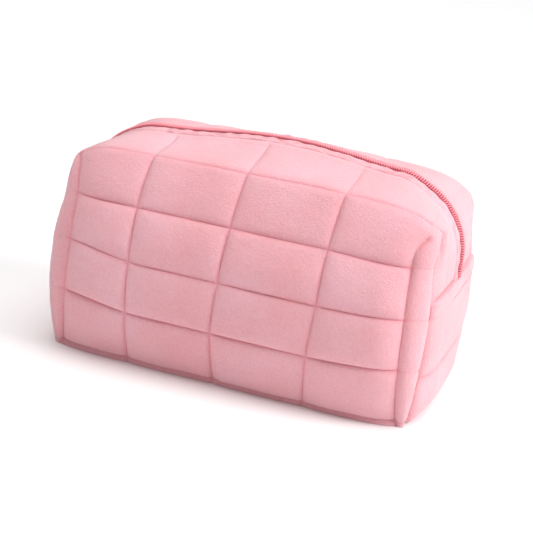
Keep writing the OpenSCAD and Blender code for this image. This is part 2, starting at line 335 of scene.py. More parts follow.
def outward(obj):
    """Turns the faces of a closed mesh outwards."""
    b = bmesh.new()
    b.from_mesh(obj.data)
    bmesh.ops.recalc_face_normals(b, faces=b.faces)
    b.to_mesh(obj.data)
    b.free()
    return obj


def ring_faces(k):
    """The faces between each closed ring of points and the next; k holds the points' numbers."""
    after = np.roll(k, -1, 1)
    return np.stack([k[:-1], after[:-1], after[1:], k[1:]], -1).reshape(-1, 4).tolist()


def capped_tube(name, rings, crease_shade=None):
    """A closed mesh through rings of points in mm, with a flat cap on the first ring and on the last."""
    n, m = rings.shape[:2]
    k = np.arange(n * m).reshape(n, m)
    faces = ring_faces(k) + [k[0][::-1].tolist(), k[-1].tolist()]
    return outward(mesh(name, rings.reshape(-1, 3) * MM, faces, crease_shade))


def mirrored(p, x=False, y=False):
    return p * np.array([-1 if x else 1, -1 if y else 1, 1])


def layer(name, outer, inner, crease_shade=None, x=False, y=False):
    """A layer between two faces, moved to the other end (x) or the other side (y) of the bag."""
    return outward(shell(name, mirrored(outer, x, y), mirrored(inner, x, y), crease_shade))


# ---------------- materials
def srgb(r, g, b):
    """A colour from its 0 to 255 display values."""
    def linear(c):
        c /= 255
        return c / 12.92 if c <= 0.04045 else ((c + 0.055) / 1.055) ** 2.4

    return (linear(r), linear(g), linear(b), 1)


def material(name):
    """A new material with its nodes, its links and its shader."""
    m = bpy.data.materials.new(name)
    m.use_nodes = True
    return m, m.node_tree.nodes, m.node_tree.links, m.node_tree.nodes["Principled BSDF"]


def add_node(nodes, kind, **values):
    """A new node with the given settings, each one its own or one of its inputs'."""
    n = nodes.new(kind)
    for key, value in values.items():
        if hasattr(n, key):
            setattr(n, key, value)
        else:
            n.inputs[key.replace("_", " ")].default_value = value
    return n


def mixed(nodes, links, factor, a, b):
    """The mix of a and b, each a colour or a socket, by the socket factor."""
    n = add_node(nodes, "ShaderNodeMix", data_type="RGBA")
    links.new(factor, n.inputs["Factor"])
    for socket, value in (("A", a), ("B", b)):
        if isinstance(value, tuple):
            n.inputs[socket].default_value = value
        else:
            links.new(value, n.inputs[socket])
    return n.outputs["Result"]


def set_inputs(shader, **values):
    """Sets a shader's inputs, named with _ for each space."""
    for key, value in values.items():
        shader.inputs[key.replace("_", " ")].default_value = value


def noise(nodes, links, place, **values):
    """The value of a noise texture at each place."""
    n = add_node(nodes, "ShaderNodeTexNoise", **values)
    links.new(place, n.inputs["Vector"])
    return n.outputs["Fac"]


def velvet_material(name, light, deep, seam):
    """Short-nap velvet: mottled nap, fine fibres, sheen, and painted shade, a deeper colour, in the creases
    where stitches pull it in.
    """
    m, nodes, links, shader = material(name)
    place = add_node(nodes, "ShaderNodeTexCoord").outputs["Object"]
    patches = noise(nodes, links, place, Scale=26, Detail=2)
    hues = noise(nodes, links, place, Scale=70, Detail=3)
    nap = noise(nodes, links, place, Scale=850, Detail=4, Roughness=0.75)
    fibres = noise(nodes, links, place, Scale=1300, Detail=3, Roughness=0.75)
    both = add_node(nodes, "ShaderNodeMath", operation="MULTIPLY_ADD")
    links.new(nap, both.inputs[0])
    both.inputs[1].default_value = 1.6
    links.new(patches, both.inputs[2])
    spread = add_node(nodes, "ShaderNodeMapRange", From_Min=0.95, From_Max=1.65)
    links.new(both.outputs[0], spread.inputs["Value"])
    cool = mixed(nodes, links, hues, light, (light[0], light[1], light[2] * 1.12, 1))
    cloth = mixed(nodes, links, spread.outputs["Result"], deep, cool)
    # Painted shade: where the mesh's crease mask is high, the cloth is mixed towards the deeper shade
    # colour given as seam
    crease_shade = add_node(nodes, "ShaderNodeAttribute", attribute_name="crease_shade")
    links.new(mixed(nodes, links, crease_shade.outputs["Fac"], cloth, seam), shader.inputs["Base Color"])
    bump = add_node(nodes, "ShaderNodeBump", Strength=0.6, Distance=0.0006)
    links.new(fibres, bump.inputs["Height"])
    soft = add_node(nodes, "ShaderNodeBump", Strength=0.8, Distance=0.0009)
    links.new(nap, soft.inputs["Height"])
    links.new(soft.outputs["Normal"], bump.inputs["Normal"])
    links.new(bump.outputs["Normal"], shader.inputs["Normal"])
    set_inputs(shader, Roughness=0.95, Specular_IOR_Level=0.15)
    set_inputs(shader, Sheen_Weight=0.42, Sheen_Roughness=0.45, Sheen_Tint=(1, 0.93, 0.95, 1))
    set_inputs(shader, Subsurface_Weight=0.3, Subsurface_Radius=(1, 0.6, 0.6), Subsurface_Scale=0.002)
    return m


def woven_material(name, light, deep, threads, roughness):
    """Plain woven cloth."""
    m, nodes, links, shader = material(name)
    place = add_node(nodes, "ShaderNodeTexCoord").outputs["Object"]
    waves = []
    for axis in ("X", "Z"):
        w = add_node(nodes, "ShaderNodeTexWave", Scale=threads, Distortion=0.6)
        w.bands_direction = axis
        links.new(place, w.inputs["Vector"])
        waves.append(w)
    weave = add_node(nodes, "ShaderNodeMath", operation="MULTIPLY")
    links.new(waves[0].outputs["Fac"], weave.inputs[0])
    links.new(waves[1].outputs["Fac"], weave.inputs[1])
    links.new(mixed(nodes, links, weave.outputs[0], deep, light), shader.inputs["Base Color"])
    bump = add_node(nodes, "ShaderNodeBump", Strength=0.3, Distance=0.0002)
    links.new(weave.outputs[0], bump.inputs["Height"])
    links.new(bump.outputs["Normal"], shader.inputs["Normal"])
    set_inputs(shader, Roughness=roughness)
    return m


def nylon_material(name, light, deep, low):
    """Smooth dyed nylon with slight unevenness, and painted shade, a deeper colour, between the teeth and
    at their feet.
    """
    m, nodes, links, shader = material(name)
    place = add_node(nodes, "ShaderNodeTexCoord").outputs["Object"]
    tint = mixed(nodes, links, noise(nodes, links, place, Scale=600, Detail=2), deep, light)
    # Painted shade: between the teeth and at their feet the colour is mixed towards low
    crease_shade = add_node(nodes, "ShaderNodeAttribute", attribute_name="crease_shade")
    links.new(mixed(nodes, links, crease_shade.outputs["Fac"], tint, low), shader.inputs["Base Color"])
    set_inputs(shader, Roughness=0.42, Specular_IOR_Level=0.4)
    return m


def metal_material(name, colour):
    """Painted metal with a soft gloss."""
    m, nodes, links, shader = material(name)
    place = add_node(nodes, "ShaderNodeTexCoord").outputs["Object"]
    spread = add_node(nodes, "ShaderNodeMapRange", To_Min=0.22, To_Max=0.38)
    links.new(noise(nodes, links, place, Scale=900, Detail=3), spread.inputs["Value"])
    links.new(spread.outputs["Result"], shader.inputs["Roughness"])
    set_inputs(shader, Base_Color=colour, Metallic=0.35, Coat_Weight=0.5)
    return m


VELVET_LIGHT = srgb(252, 190, 195)
VELVET_DEEP = srgb(244, 169, 175)
# Painted shade: the deeper colour mixed into creases, grooves and seams where shade falls
VELVET_CREASE_SHADE = srgb(236, 128, 141)
velvet = velvet_material("velvet", VELVET_LIGHT, VELVET_DEEP, VELVET_CREASE_SHADE)
wadding = woven_material("wadding", srgb(250, 248, 246), srgb(240, 236, 232), threads=300, roughness=1.0)
satin = woven_material("lining", srgb(246, 196, 205), srgb(236, 176, 188), threads=900, roughness=0.5)
tape = woven_material("zip_tape", srgb(232, 132, 148), srgb(214, 104, 123), threads=1200, roughness=0.8)
# The coil's third colour is painted shade between the teeth
nylon = nylon_material("zip_coil", srgb(250, 162, 172), srgb(240, 142, 154), srgb(186, 66, 84))
metal = metal_material("zip_metal", srgb(240, 160, 172))


def finish_piece(obj, cloth, slot, *nodes):
    """Gives a piece its material and hides the CAD nodes it stands for. slot is not used."""
    obj.data.materials.append(cloth)
    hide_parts(*nodes)


def bend(obj):
    """Bakes the piece's transform into its mesh."""
    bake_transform(obj)


# ---------------- the quilted walls
# A stitch line's sharp groove and the soft one round it, in mm: how deep each is, and how far it reaches
LINE_SINK = 1.0
LINE_REACH = 1.1
SOFT_SINK = 1.05
SOFT_REACH = 3.9
# How far the middle of a cell puffs out
CROWN = 0.55
# The grooves beside the margins, their sharp and soft reach, and the margins' width
MARGIN_SINK = 2.0
MARGIN_REACH = 1.7
MARGIN_SOFT_REACH = 5.0
MARGIN_WIDTH = 17.5


def level_at(s, w):
    """The wall's level for quilting level w at s along the bag; the lines rise or sag at the corners."""
    right = np.interp(w, RISE_LEVELS, RISE_RIGHT) * smooth((s - 45) / 50)
    left = np.interp(w, RISE_LEVELS, RISE_LEFT) * smooth((-s - 50) / 42)
    lowered = np.where(w < 1, LOWEST_LINE * w, w - (1 - LOWEST_LINE) * (1 - smooth((w - 1) / 0.8)))
    return lowered + (right + left) / CELL_HEIGHT


def strayed(s, v):
    """Where the quilting's line s along the bag is at level v."""
    s, v = np.broadcast_arrays(s, v)
    offsets = np.array([np.interp(v, STRAY_LEVELS, row) for row in STRAY])
    total = s.astype(float).copy()
    for k in range(len(LINES) - 1):
        a, b = LINES[k], LINES[k + 1]
        here = ((s >= a) | (k == 0)) & ((s < b) | (k == len(LINES) - 2))
        t = np.clip((s - a) / (b - a), 0, 1)
        total = np.where(here, s + mix(offsets[k], offsets[k + 1], t), total)
    return total


# How far the top of the bag stands above or below the even shape, along the bag
TOP_LIFT_X = [-111, -91, -72, -48, -24, 0, 22, 45, 68, 86, 111]
TOP_LIFT = [0, -1.0, -2.0, -0.9, 0, 0.8, 1.8, 1.9, 0.6, -0.2, 0]
# The zip stands this much higher along its middle
ZIP_CREST = 1.0


def settled(p):
    """The points p with the top of the bag uneven, a little higher right of the middle than left of it."""
    lift = np.interp(p[..., 0], TOP_LIFT_X, TOP_LIFT) * smooth((p[..., 2] - 98) / 20)
    inward = smooth(1.15 - np.abs(p[..., 1]) / 60)
    q = p.copy()
    crest = ZIP_CREST * smooth((90 - np.abs(p[..., 0])) / 18) * smooth((26 - np.abs(p[..., 1])) / 20)
    q[..., 2] += lift * inward + crest * smooth((p[..., 2] - 98) / 20)
    return q


def line_stations(marks, per_cell):
    """Numbers through the marks, per_cell to a cell's width."""
    return stations(marks, [int(per_cell * (b - a) / CELL_WIDTH) for a, b in zip(marks, marks[1:])])


def wall_surface(per_cell, per_margin, per_row, per_foot):
    """The base surface of a quilted wall with its quilting coordinates.

    These are the place along the bag, the share of the margin beyond the outermost line, and the level.
    """
    inside = line_stations(LINES, per_cell)
    margin = stations([0, 1], [per_margin], 0.5)
    w = stations([0, 1, 2, 3, 4, 5], [per_foot, per_row, per_row, per_row, per_row])
    columns = len(inside) + 2 * (len(margin) - 1)
    p = np.zeros((len(w), columns, 3))
    along = np.zeros((len(w), columns))
    beyond = np.zeros((len(w), columns))
    k = len(margin) - 1
    v = level_at(inside[None], w[:, None])
    p[:, k:-k] = wall(angle_at(strayed(inside[None], v), v), v)
    along[:, k:-k] = inside
    for side, cut in ((1, slice(-k, None)), (-1, slice(0, k))):
        share = margin[1:] if side > 0 else margin[:0:-1]
        edge = LINES[-1] if side > 0 else LINES[0]
        v = level_at(np.array([[edge]]), w[:, None]) + 0 * share[None]
        start = angle_at(strayed(np.array([[edge]]), v), v)
        stop = side * seam_angle(v)
        p[:, cut] = wall(mix(start, stop, share[None]), v)
        along[:, cut] = edge
        beyond[:, cut] = share
    return p, along, beyond, w[:, None] + 0 * along


def pulled_in(distance):
    """How far a stitch line pulls the cloth in, 0 to 1: sharply beside it, and softly further off."""
    return pinch(distance, LINE_REACH), pinch(distance, SOFT_REACH)


def either(a, b):
    """Two pulls from 0 to 1 acting together."""
    return 1 - (1 - a) * (1 - b)


# The stitch line along the shoulder: its depth against the others', and its reach
EDGE_LINE = 2.0
EDGE_REACH = 1.5
# Where the margins' grooves begin to curl outwards, how many rows that takes, and how far out of the margin
CURL_LOW = 4.2
CURL_LOW_LEFT = 4.55
CURL_RISE = 0.36
CURL_SHARE = 0.25
# How much of the wall's rounding near the right end is filled out
FRONT_FILL = 0.5
# How far a margin rolls out between its groove and the end seam
ROLL = 1.6
ROLL_LEFT = 0.7
# The soft foot below the lowest stitch line: its height, its roundness, and how far out it stands, and
# how much further at the left
FOOT_HEIGHT = 9
FOOT_ROLL = 1.1
FOOT_OUT = 5.0
FOOT_OUT_LEFT = 1.8


def seam_sink(w):
    """How deep the end seams lie; they rise towards the corners."""
    return mix(2.6, 1.0, smooth((w - 4.62) / 0.3)) * mix(0.35, 1, smooth(w / 1.2))


def stitch_pulls(along, beyond, w):
    """How far the lines between the cells pull the cloth in at each point: sharply, and softly."""
    row_d = np.abs(w - np.round(w)) * CELL_HEIGHT
    row_d = np.where(w < 1, (1 - w) * FOOT_HEIGHT, row_d)
    low = mix(0.4, 1, smooth(w / 0.9))
    high = mix(1, 0.75, smooth(w - 3.8))
    sharp_x, soft_x = (pull * low * high for pull in pulled_in(nearest(along, LINES[1:-1])))
    sharp_r, soft_r = pulled_in(row_d)
    sharp_r = np.where(w > 4.5, EDGE_LINE * pinch(row_d, EDGE_REACH), sharp_r)
    across_margin = np.where(along < 0, 0.08, 0.45)
    kept = np.where(w < 1.5, 0.8, 1.0) * mix(1, across_margin, smooth(beyond * MARGIN_WIDTH / 4))
    sharp_r, soft_r = sharp_r * kept, soft_r * kept * np.where(w < 1, 0.3, 1)
    sharp = np.maximum(either(sharp_x, np.minimum(sharp_r, 1)), sharp_r)
    return sharp, either(soft_x, soft_r)


def margin_groove(along, beyond, w, curl_low):
    """The distance from the groove beside the margin, and the share of the margin that it has crossed.

    The outermost grooves curl outwards at their tops, from the level curl_low.
    """
    curl = np.clip((w - curl_low) / CURL_RISE, 0, 1)
    turned = CURL_SHARE * smooth(curl)
    slope = 6 * curl * (1 - curl) * CURL_SHARE * MARGIN_WIDTH / (CURL_RISE * CELL_HEIGHT)
    steep = np.sqrt(1 + slope ** 2)
    within = np.minimum(np.abs(along - LINES[0]), np.abs(along - LINES[-1])) + turned * MARGIN_WIDTH
    distance = np.where(beyond == 0, within, np.abs(beyond - turned) * MARGIN_WIDTH) / steep
    return distance, turned


def cell_domes(along, beyond, w, above):
    """How far the cells puff out, 0 to 1. Above the curls the corner cells run on to the corners."""
    inside = beyond == 0
    cell = np.clip(np.searchsorted(LINES, along, side="right") - 1, 0, 3)
    left, right = np.array(LINES)[cell], np.array(LINES)[cell + 1]
    across = np.clip((along - left) / (right - left), 0, 1)
    level = w - np.floor(np.minimum(w, 4.999))
    dome = (4 * across * (1 - across)) ** 0.6 * (4 * level * (1 - level)) ** 0.6
    dome = np.where(w < 1, 0, dome)
    full = right - left + MARGIN_WIDTH
    outermost = np.where(along < 0, 1 - across, across) * (right - left) / full
    outermost = np.where(inside, outermost, (right - left + beyond * MARGIN_WIDTH) / full)
    far_dome = (4 * outermost * (1 - outermost)) ** 0.6 * (4 * level * (1 - level)) ** 0.6
    in_end_cell = (cell == 0) | (cell == 3) | ~inside
    return np.where(in_end_cell, mix(np.where(inside, dome, 0), far_dome, above), dome)


def foot_out(p, beyond, w):
    """How far the soft foot below the lowest stitch line stands out."""
    foot = np.clip(1 - w, 0, 1)
    out = FOOT_OUT + FOOT_OUT_LEFT * smooth((-p[..., 0] - 72) / 22)
    at_end = 1 - 0.25 * smooth(beyond * 2) - 0.5 * smooth((beyond - 0.45) / 0.5)
    return (FOOT_ROLL * np.sin(np.pi * foot) + out * foot) * at_end


def wall_height(p, along, beyond, w, seed):
    """How far the velvet stands off the base surface, and how much painted shade it gets in its creases."""
    inside = beyond == 0
    sharp, soft = stitch_pulls(along, beyond, w)
    curl_low = np.where(p[..., 0] < 0, CURL_LOW_LEFT, CURL_LOW)
    edge_d, turned = margin_groove(along, beyond, w, curl_low)
    groove = smooth((curl_low + CURL_RISE + 0.12 - w) / 0.16) * smooth(w / 0.9)
    deeper = 1 + 0.1 * np.exp(-((w - curl_low - 0.2) / 0.13) ** 2)
    sharp_e = pinch(edge_d, MARGIN_REACH) * groove
    soft_e = pinch(edge_d, MARGIN_SOFT_REACH) * groove
    h = -LINE_SINK * sharp * (1 - sharp_e) - SOFT_SINK * soft * (1 - soft_e)
    h = h - MARGIN_SINK * deeper * (0.6 * sharp_e + 0.4 * soft_e)
    above = smooth((w - curl_low - 0.15) / 0.4)
    h = h + CROWN * cell_domes(along, beyond, w, above)
    hollow = np.maximum(row_at(w)[..., 0] - np.abs(p[..., 1]), 0) * (p[..., 0] > 0)
    h = h + FRONT_FILL * np.where(inside, hollow * smooth(edge_d / 18), 0) * (1 - above) * smooth(w - 0.5)
    share = np.clip((beyond - turned) / np.maximum(1 - turned, 0.05), 0, 1)
    roll = np.where(inside, 0, np.sin(np.pi * share) ** 0.7)
    h = h + np.where(along < 0, ROLL_LEFT, ROLL) * roll * smooth(w / 0.8) * (1 - above)
    h = h + foot_out(p, beyond, w)
    seam = np.where(inside, 0, pinch((1 - beyond) * MARGIN_WIDTH, 1.4))
    h = h * (1 - seam) - seam_sink(w) * seam
    calm = np.maximum(1 - sharp, 0) * (1 - seam)
    h = h + 0.28 * wobble(p, 30, seed) * calm + 0.13 * wobble(p, 11, seed + 1) * calm
    h = h + 0.05 * wobble(p, 4, seed + 2)
    # Painted shade in the stitch lines, the margins' grooves and the end seams
    crease_shade = np.clip(0.5 * sharp ** 1.4 + 0.3 * sharp_e + 0.3 * seam, 0, 1)
    return h, crease_shade


def quilted_wall(name, rear, seed):
    """The velvet and the wadding of the front or the rear wall."""
    key = "rear" if rear else "front"
    p, along, beyond, w = wall_surface(per_cell=56, per_margin=20, per_row=32, per_foot=10)
    p = settled(p)
    n = normals(p)
    h, crease_shade = wall_height(p, along, beyond, w, seed)
    outer = above_floor(p + n * h[..., None], OUTER_CLEAR)
    inner = above_floor(velvet_inside(p, n, h), INNER_CLEAR)
    quilt = layer(name, outer, inner, crease_shade, y=rear)
    finish_piece(quilt, velvet, "velvet", f"upper_{key}_panel", f"lower_{key}_panel")
    bend(quilt)
    pad_outer = above_floor(wadding_outside(p, n, h), WADDING_CLEAR)
    pad = layer(f"{key}_wall_wadding", pad_outer, wadding_inside(p, n), y=rear)
    finish_piece(pad, wadding, "batting", f"lower_{key}_batting", f"{key}_wall_batting")
    bend(pad)


quilted_wall("front_quilt", rear=False, seed=3)
quilted_wall("rear_quilt", rear=True, seed=11)


# ---------------- strips beside the zip
CORNER_X = float(wall(math.radians(45), SHOULDER)[0])
TOP_MARKS = [-CORNER_X, *LINES[1:-1], CORNER_X]
STRIP_WIDTH = 37.0
# A gusset's length, and the share of the strip's way at which it meets the top strip
GUSSET_LENGTH = 55
GUSSET_END = 1 - (1 - RIDGE_SHARE) * 45 / 50


def strip_grid(q, t):
    """Points of the strip beside the zip, at every pair of q and t."""
    return settled(strip_point(q[None] + 0 * t[:, None], t[:, None] + 0 * q[None]))


def strip_surface_top(per_cell, across):
    """The base surface of a top strip, with the place along the bag and the share from the zip."""
    s = line_stations(TOP_MARKS, per_cell)
    b = angle_at(strayed(s, np.full_like(s, SHOULDER)), np.full_like(s, SHOULDER))
    q = 1 - (1 - RIDGE_SHARE) * b / seam_angle(SHOULDER)
    t = stations([0, 1], [across])
    return strip_grid(q, t), s[None] + 0 * t[:, None], t[:, None] + 0 * s[None]


def strip_height(p, s, t, rear, seed):
    """How far the top strip stands off its base surface, and how much painted shade it gets in its creases.
    """
    marks = np.array(TOP_MARKS)
    cell = np.clip(np.searchsorted(marks, s, side="right") - 1, 0, len(marks) - 2)
    across = np.clip((s - marks[cell]) / (marks[cell + 1] - marks[cell]), 0, 1)
    dome = (4 * across * (1 - across)) ** 0.6 * (4 * t * (1 - t)) ** 0.5
    ends = pinch(np.minimum(np.abs(s - marks[0]), np.abs(s - marks[-1])), 1.5)
    from_zip = t * STRIP_WIDTH
    sharp_x, soft_x = pulled_in(nearest(s, LINES[1:-1]))
    fade = 0.5 * smooth(from_zip / 7)
    soft_a = pinch((1 - t) * STRIP_WIDTH, SOFT_REACH)
    sharp_a = EDGE_LINE * pinch((1 - t) * STRIP_WIDTH, EDGE_REACH)
    sharp, soft = sharp_x * fade + sharp_a, either(soft_x * fade, soft_a)
    at_zip = pinch(from_zip, 1.3)
    h = -LINE_SINK * sharp - SOFT_SINK * soft - 0.2 * ends * (1 - sharp) + (0.3 if rear else CROWN) * dome
    h = h * (1 - at_zip) - 0.5 * at_zip + 0.5 * pinch(from_zip - 4, 2.5)
    calm = np.maximum(1 - sharp, 0) * (1 - at_zip) * (1 - pinch(CORNER_X - np.abs(s), 4))
    h = h + 0.22 * wobble(p, 24, seed) * calm + 0.1 * wobble(p, 8, seed + 1) * calm
    # Painted shade in the stitch lines, beside the zip and at the strip's ends
    return h, np.clip(0.45 * sharp ** 1.6 + 0.3 * at_zip + 0.08 * ends, 0, 1)


def gusset_height(g, q, t, seed):
    """How far a gusset stands off its base surface, and how much painted shade it gets in its creases."""
    width = np.linalg.norm(g[-1] - g[0], axis=-1)[None]
    out_d = (1 - t[:, None]) * width
    in_d = t[:, None] * width
    at_seam = pinch(out_d, 2.2)
    at_zip = pinch(in_d, 1.6)
    rise = q[None] / GUSSET_END
    low = pinch(rise * GUSSET_LENGTH, 3)
    top = pinch((1 - rise) * GUSSET_LENGTH, 1.5)
    fold_at = 4.5 + 1.5 * np.sin(rise * 7)
    fold = np.exp(-((out_d - fold_at) / 1.2) ** 2)
    fold = fold * smooth((rise - 0.3) / 0.2) * smooth((0.86 - rise) / 0.12)
    w = np.minimum(mix(BAND, SHOULDER, q[None] / RIDGE_SHARE), SHOULDER)
    tucked = smooth(-q[None] / 0.02 + 0.6)
    h = -seam_sink(w) * at_seam - 0.2 * at_zip - 0.3 * low - 0.2 * top - 1.7 * fold
    level_out = 1 - pinch((1 - rise) * GUSSET_LENGTH, 4)
    h = h + (4 * t[:, None] * (1 - t[:, None])) ** 0.7 * level_out
    h = h + 0.6 * wobble(g * np.array([1, 1, 0.35]), 13, seed) * level_out * (1 - at_zip)
    h = mix(h, -0.4, tucked)
    # Painted shade at the seam, beside the zip, at the top and the bottom and in the fold
    crease_shade = np.clip(0.3 * at_seam + 0.3 * at_zip + 0.1 * top + 0.2 * low + 0.2 * fold, 0, 1)
    return h, crease_shade


def gusset_piece(key, side, rear, seed):
    """A gusset, from behind the end band up to the top strip."""
    left = side == "left"
    q = np.concatenate([[-0.035, -0.02], stations([0, GUSSET_END], [60], 0.3)])
    t = stations([0, 1], [30])
    g = strip_grid(q, t)
    n = normals(g)
    h, crease_shade = gusset_height(g, q, t, seed)
    inner = velvet_inside(g, n, h)
    obj = layer(f"{key}_gusset_{side}", g + n * h[..., None], inner, crease_shade, x=left, y=rear)
    finish_piece(obj, velvet, "velvet", f"{key}_gusset_{side}")
    bend(obj)


def strip_pieces(rear, seed):
    """The top strip and the two gussets on one side of the zip."""
    key = "rear" if rear else "front"
    p, s, t = strip_surface_top(per_cell=52, across=34)
    n = normals(p)
    h, crease_shade = strip_height(p, s, t, rear, seed)
    obj = layer(f"{key}_top_quilt", p + n * h[..., None], velvet_inside(p, n, h), crease_shade, y=rear)
    finish_piece(obj, velvet, "velvet", f"{key}_top_strip")
    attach(obj, f"{key}_half")
    gusset_piece(key, "right", rear, seed + 5)
    gusset_piece(key, "left", rear, seed + 6)


strip_pieces(rear=False, seed=21)
strip_pieces(rear=True, seed=31)


# ---------------- the lower ends
# The radius of an end's soft lower edge, and half an end's width between its seams
FOOT_RADIUS = 11.0
END_HALF_WIDTH = 50
# The end band's height, and how deep it reaches behind the wall's surface
BAND_HEIGHT = 9.0
BAND_DEPTH = 3.2


def rounded_under(p, away):
    """The points p with an end's lower edge rounded inwards; away is the distance from the corner seams."""
    z = np.clip(p[..., 2], 0, FOOT_RADIUS)
    inset = FOOT_RADIUS - np.sqrt(FOOT_RADIUS ** 2 - (FOOT_RADIUS - z) ** 2)
    q = p.copy()
    q[..., 0] -= np.sign(p[..., 0]) * inset * smooth(away / 12)
    return q


def end_piece(name, left, seed):
    """The velvet and the wadding of a lower end."""
    v = stations([0, 1, 2, 3], [16, 24, 20], 0.5)[:, None]
    j = stations([-1, 1], [70], 0.5)[None]
    b = math.pi / 2 + j * (math.pi / 2 - seam_angle(v))
    v, j = v + 0 * j, j + 0 * v
    edge = (1 - np.abs(j)) * END_HALF_WIDTH
    p = rounded_under(wall(b, v), edge)
    n = normals(p)
    at_seam = pinch(edge, 2.0)
    line = 0.7 * pinch((v - 2 + 0.06 * (1 - j)) * CELL_HEIGHT, 1.3)
    foot = pinch((v - 1) * CELL_HEIGHT, 1.5) * 0.5
    h = -2.6 * at_seam - 2.0 * line * (1 - at_seam) - 0.6 * foot
    h = h + 2.6 * (1 - np.abs(j) ** 2.5) * smooth(v) * smooth((3.4 - v) / 1.2)
    h = h + 0.4 * wobble(p, 30, seed) * (1 - at_seam) + 0.1 * wobble(p, 9, seed + 1)
    # Painted shade at the seams, in the stitch line and along the foot
    crease_shade = np.clip(0.3 * at_seam + 0.8 * line + 0.2 * foot, 0, 1)
    outer = above_floor(p + n * h[..., None], OUTER_CLEAR)
    obj = layer(name, outer, above_floor(velvet_inside(p, n, h), INNER_CLEAR), crease_shade, x=left)
    finish_piece(obj, velvet, "velvet", name)
    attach(obj, "base")
    side = "left" if left else "right"
    wad = layer(f"end_wadding_{side}", wadding_outside(p, n, h), wadding_inside(p, n), x=left)
    finish_piece(wad, wadding, "batting", f"end_batting_{side}")
    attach(wad, "base")


end_piece("end_panel_right", left=False, seed=41)
end_piece("end_panel_left", left=True, seed=51)


def band_piece(name, left, seed):
    """The folded band across an end, thicker at its upper edge, with a topstitched line."""
    z = stations([0, 1], [16], 0.2)[:, None]
    v = mix(2.97, 3.29, z)
    j = stations([-1, 1], [60], 0.4)[None]
    b = math.pi / 2 + j * (math.pi / 2 - seam_angle(v))
    p = wall(b, v + 0 * j)
    z, j = z + 0 * j, j + 0 * z
    n = normals(p)
    edge = (1 - np.abs(j)) * END_HALF_WIDTH
    at_seam = pinch(edge, 1.3)
    stitch = 0.7 * pinch((1 - z) * BAND_HEIGHT - 2.4, 0.5)
    base = pinch(z * BAND_HEIGHT, 0.9)
    round_top = np.clip(1 - ((1 - z) * BAND_HEIGHT / 1.2), 0, 1) ** 2
    h = 0.7 - 2.7 * at_seam - 0.5 * stitch - 1.0 * base - 0.7 * round_top + 0.2 * wobble(p, 16, seed)
    # Painted shade at the seams, in the topstitched line and at the band's foot
    crease_shade = np.clip(0.12 * at_seam + 0.25 * stitch + 0.3 * base, 0, 1)
    obj = layer(name, p + n * h[..., None], p - n * BAND_DEPTH, crease_shade, x=left)
    finish_piece(obj, velvet, "band", name)
    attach(obj, "base")


band_piece("end_band_right", left=False, seed=61)
band_piece("end_band_left", left=True, seed=71)


# ---------------- the zip
# Points along the zip between which the teeth are placed
PATH_POINTS = 2000
# The upper side of a facing's cross-section
FACING_Y = [2.7, 3.1, 4.0, 5.4, 6.8, 8.0, 9.0, 9.5]
FACING_DEPTH = [1.0, 0.4, 0.15, 0.25, 0.5, 0.5, 0.9, 1.8]
# One tooth, at places across the zip: half its width along the zip, and its height above the tape
TOOTH_Y = [0.47, 0.6, 1.0, 1.6, 2.4, 2.95]
TOOTH_WIDE = [0.2, 0.34, 0.4, 0.4, 0.4, 0.24]
TOOTH_HIGH = [0.3, 0.6, 0.82, 0.85, 0.78, 0.4]
TOOTH_SIDES = 8
TOOTH_PITCH = 1.4
TOOTH_SLANT = 0.25
COIL_LIFT = 0.42
# How far the facings are ruffled
RUFFLE = 0.45
# The tape's cross-section: the distance from the zip's middle, and the depth below its path
TAPE_SECTION = [
    (0.1, 0.45), (2.9, 0.45), (3.5, 1.4), (8.3, 1.7), (8.7, 4.3),
    (8.1, 4.3), (7.7, 2.1), (3.3, 1.8), (2.7, 0.95), (0.1, 0.95),
]


def zip_line(count):
    """Points, directions and outward normals along the zip from right to left, and its length."""
    l = np.linspace(-4, UPRIGHT + TURN_LENGTH, 200)
    x, z = turn_point(np.maximum(l, 0), 0)
    z = np.where(l < 0, BAND_Z + l, z)
    cx = np.linspace(TURN_X, -TURN_X, 300)[1:-1]
    px = np.concatenate([x, cx, -x[::-1]])
    pz = np.concatenate([z, crown_z(cx, 0), z[::-1]])
    d = np.concatenate([[0], np.cumsum(np.hypot(np.diff(px), np.diff(pz)))])
    at = np.linspace(0, d[-1], count)
    px, pz = np.interp(at, d, px), np.interp(at, d, pz)
    tx, tz = np.gradient(px), np.gradient(pz)
    size = np.hypot(tx, tz)
    tx, tz = tx / size, tz / size
    lifted = settled(np.stack([px, 0 * px, pz], -1))[:, 2]
    return np.stack([px, lifted], -1), np.stack([tx, tz], -1), np.stack([tz, -tx], -1), d[-1]


def ruffled(rings, section, normal, seed):
    """The rings of a facing made uneven and gathered, and the painted shade in the gathers at each point.
    """
    y, depth = section[None, :, 0], section[None, :, 1]
    across = normal[:, None]
    lift = RUFFLE * wobble(rings * np.array([1, 3, 1]), 5, seed) * (depth < 0.9)
    rings[:, :, 0] += across[..., 0] * lift
    rings[:, :, 2] += across[..., 1] * lift
    rings[:, :, 1] += 0.5 * RUFFLE * wobble(rings, 7, seed + 1)
    gathers = np.exp(-((y - 6.8) / 0.8) ** 2) * (depth < 1.6)
    gathers = gathers * np.clip(0.5 + 0.9 * wobble(rings * np.array([1, 0.3, 1]), 4, seed + 2), 0, 1)
    rings[:, :, 0] -= across[..., 0] * 0.5 * gathers
    rings[:, :, 2] -= across[..., 1] * 0.5 * gathers
    # Painted shade in the gathers
    return rings, 0.35 * gathers


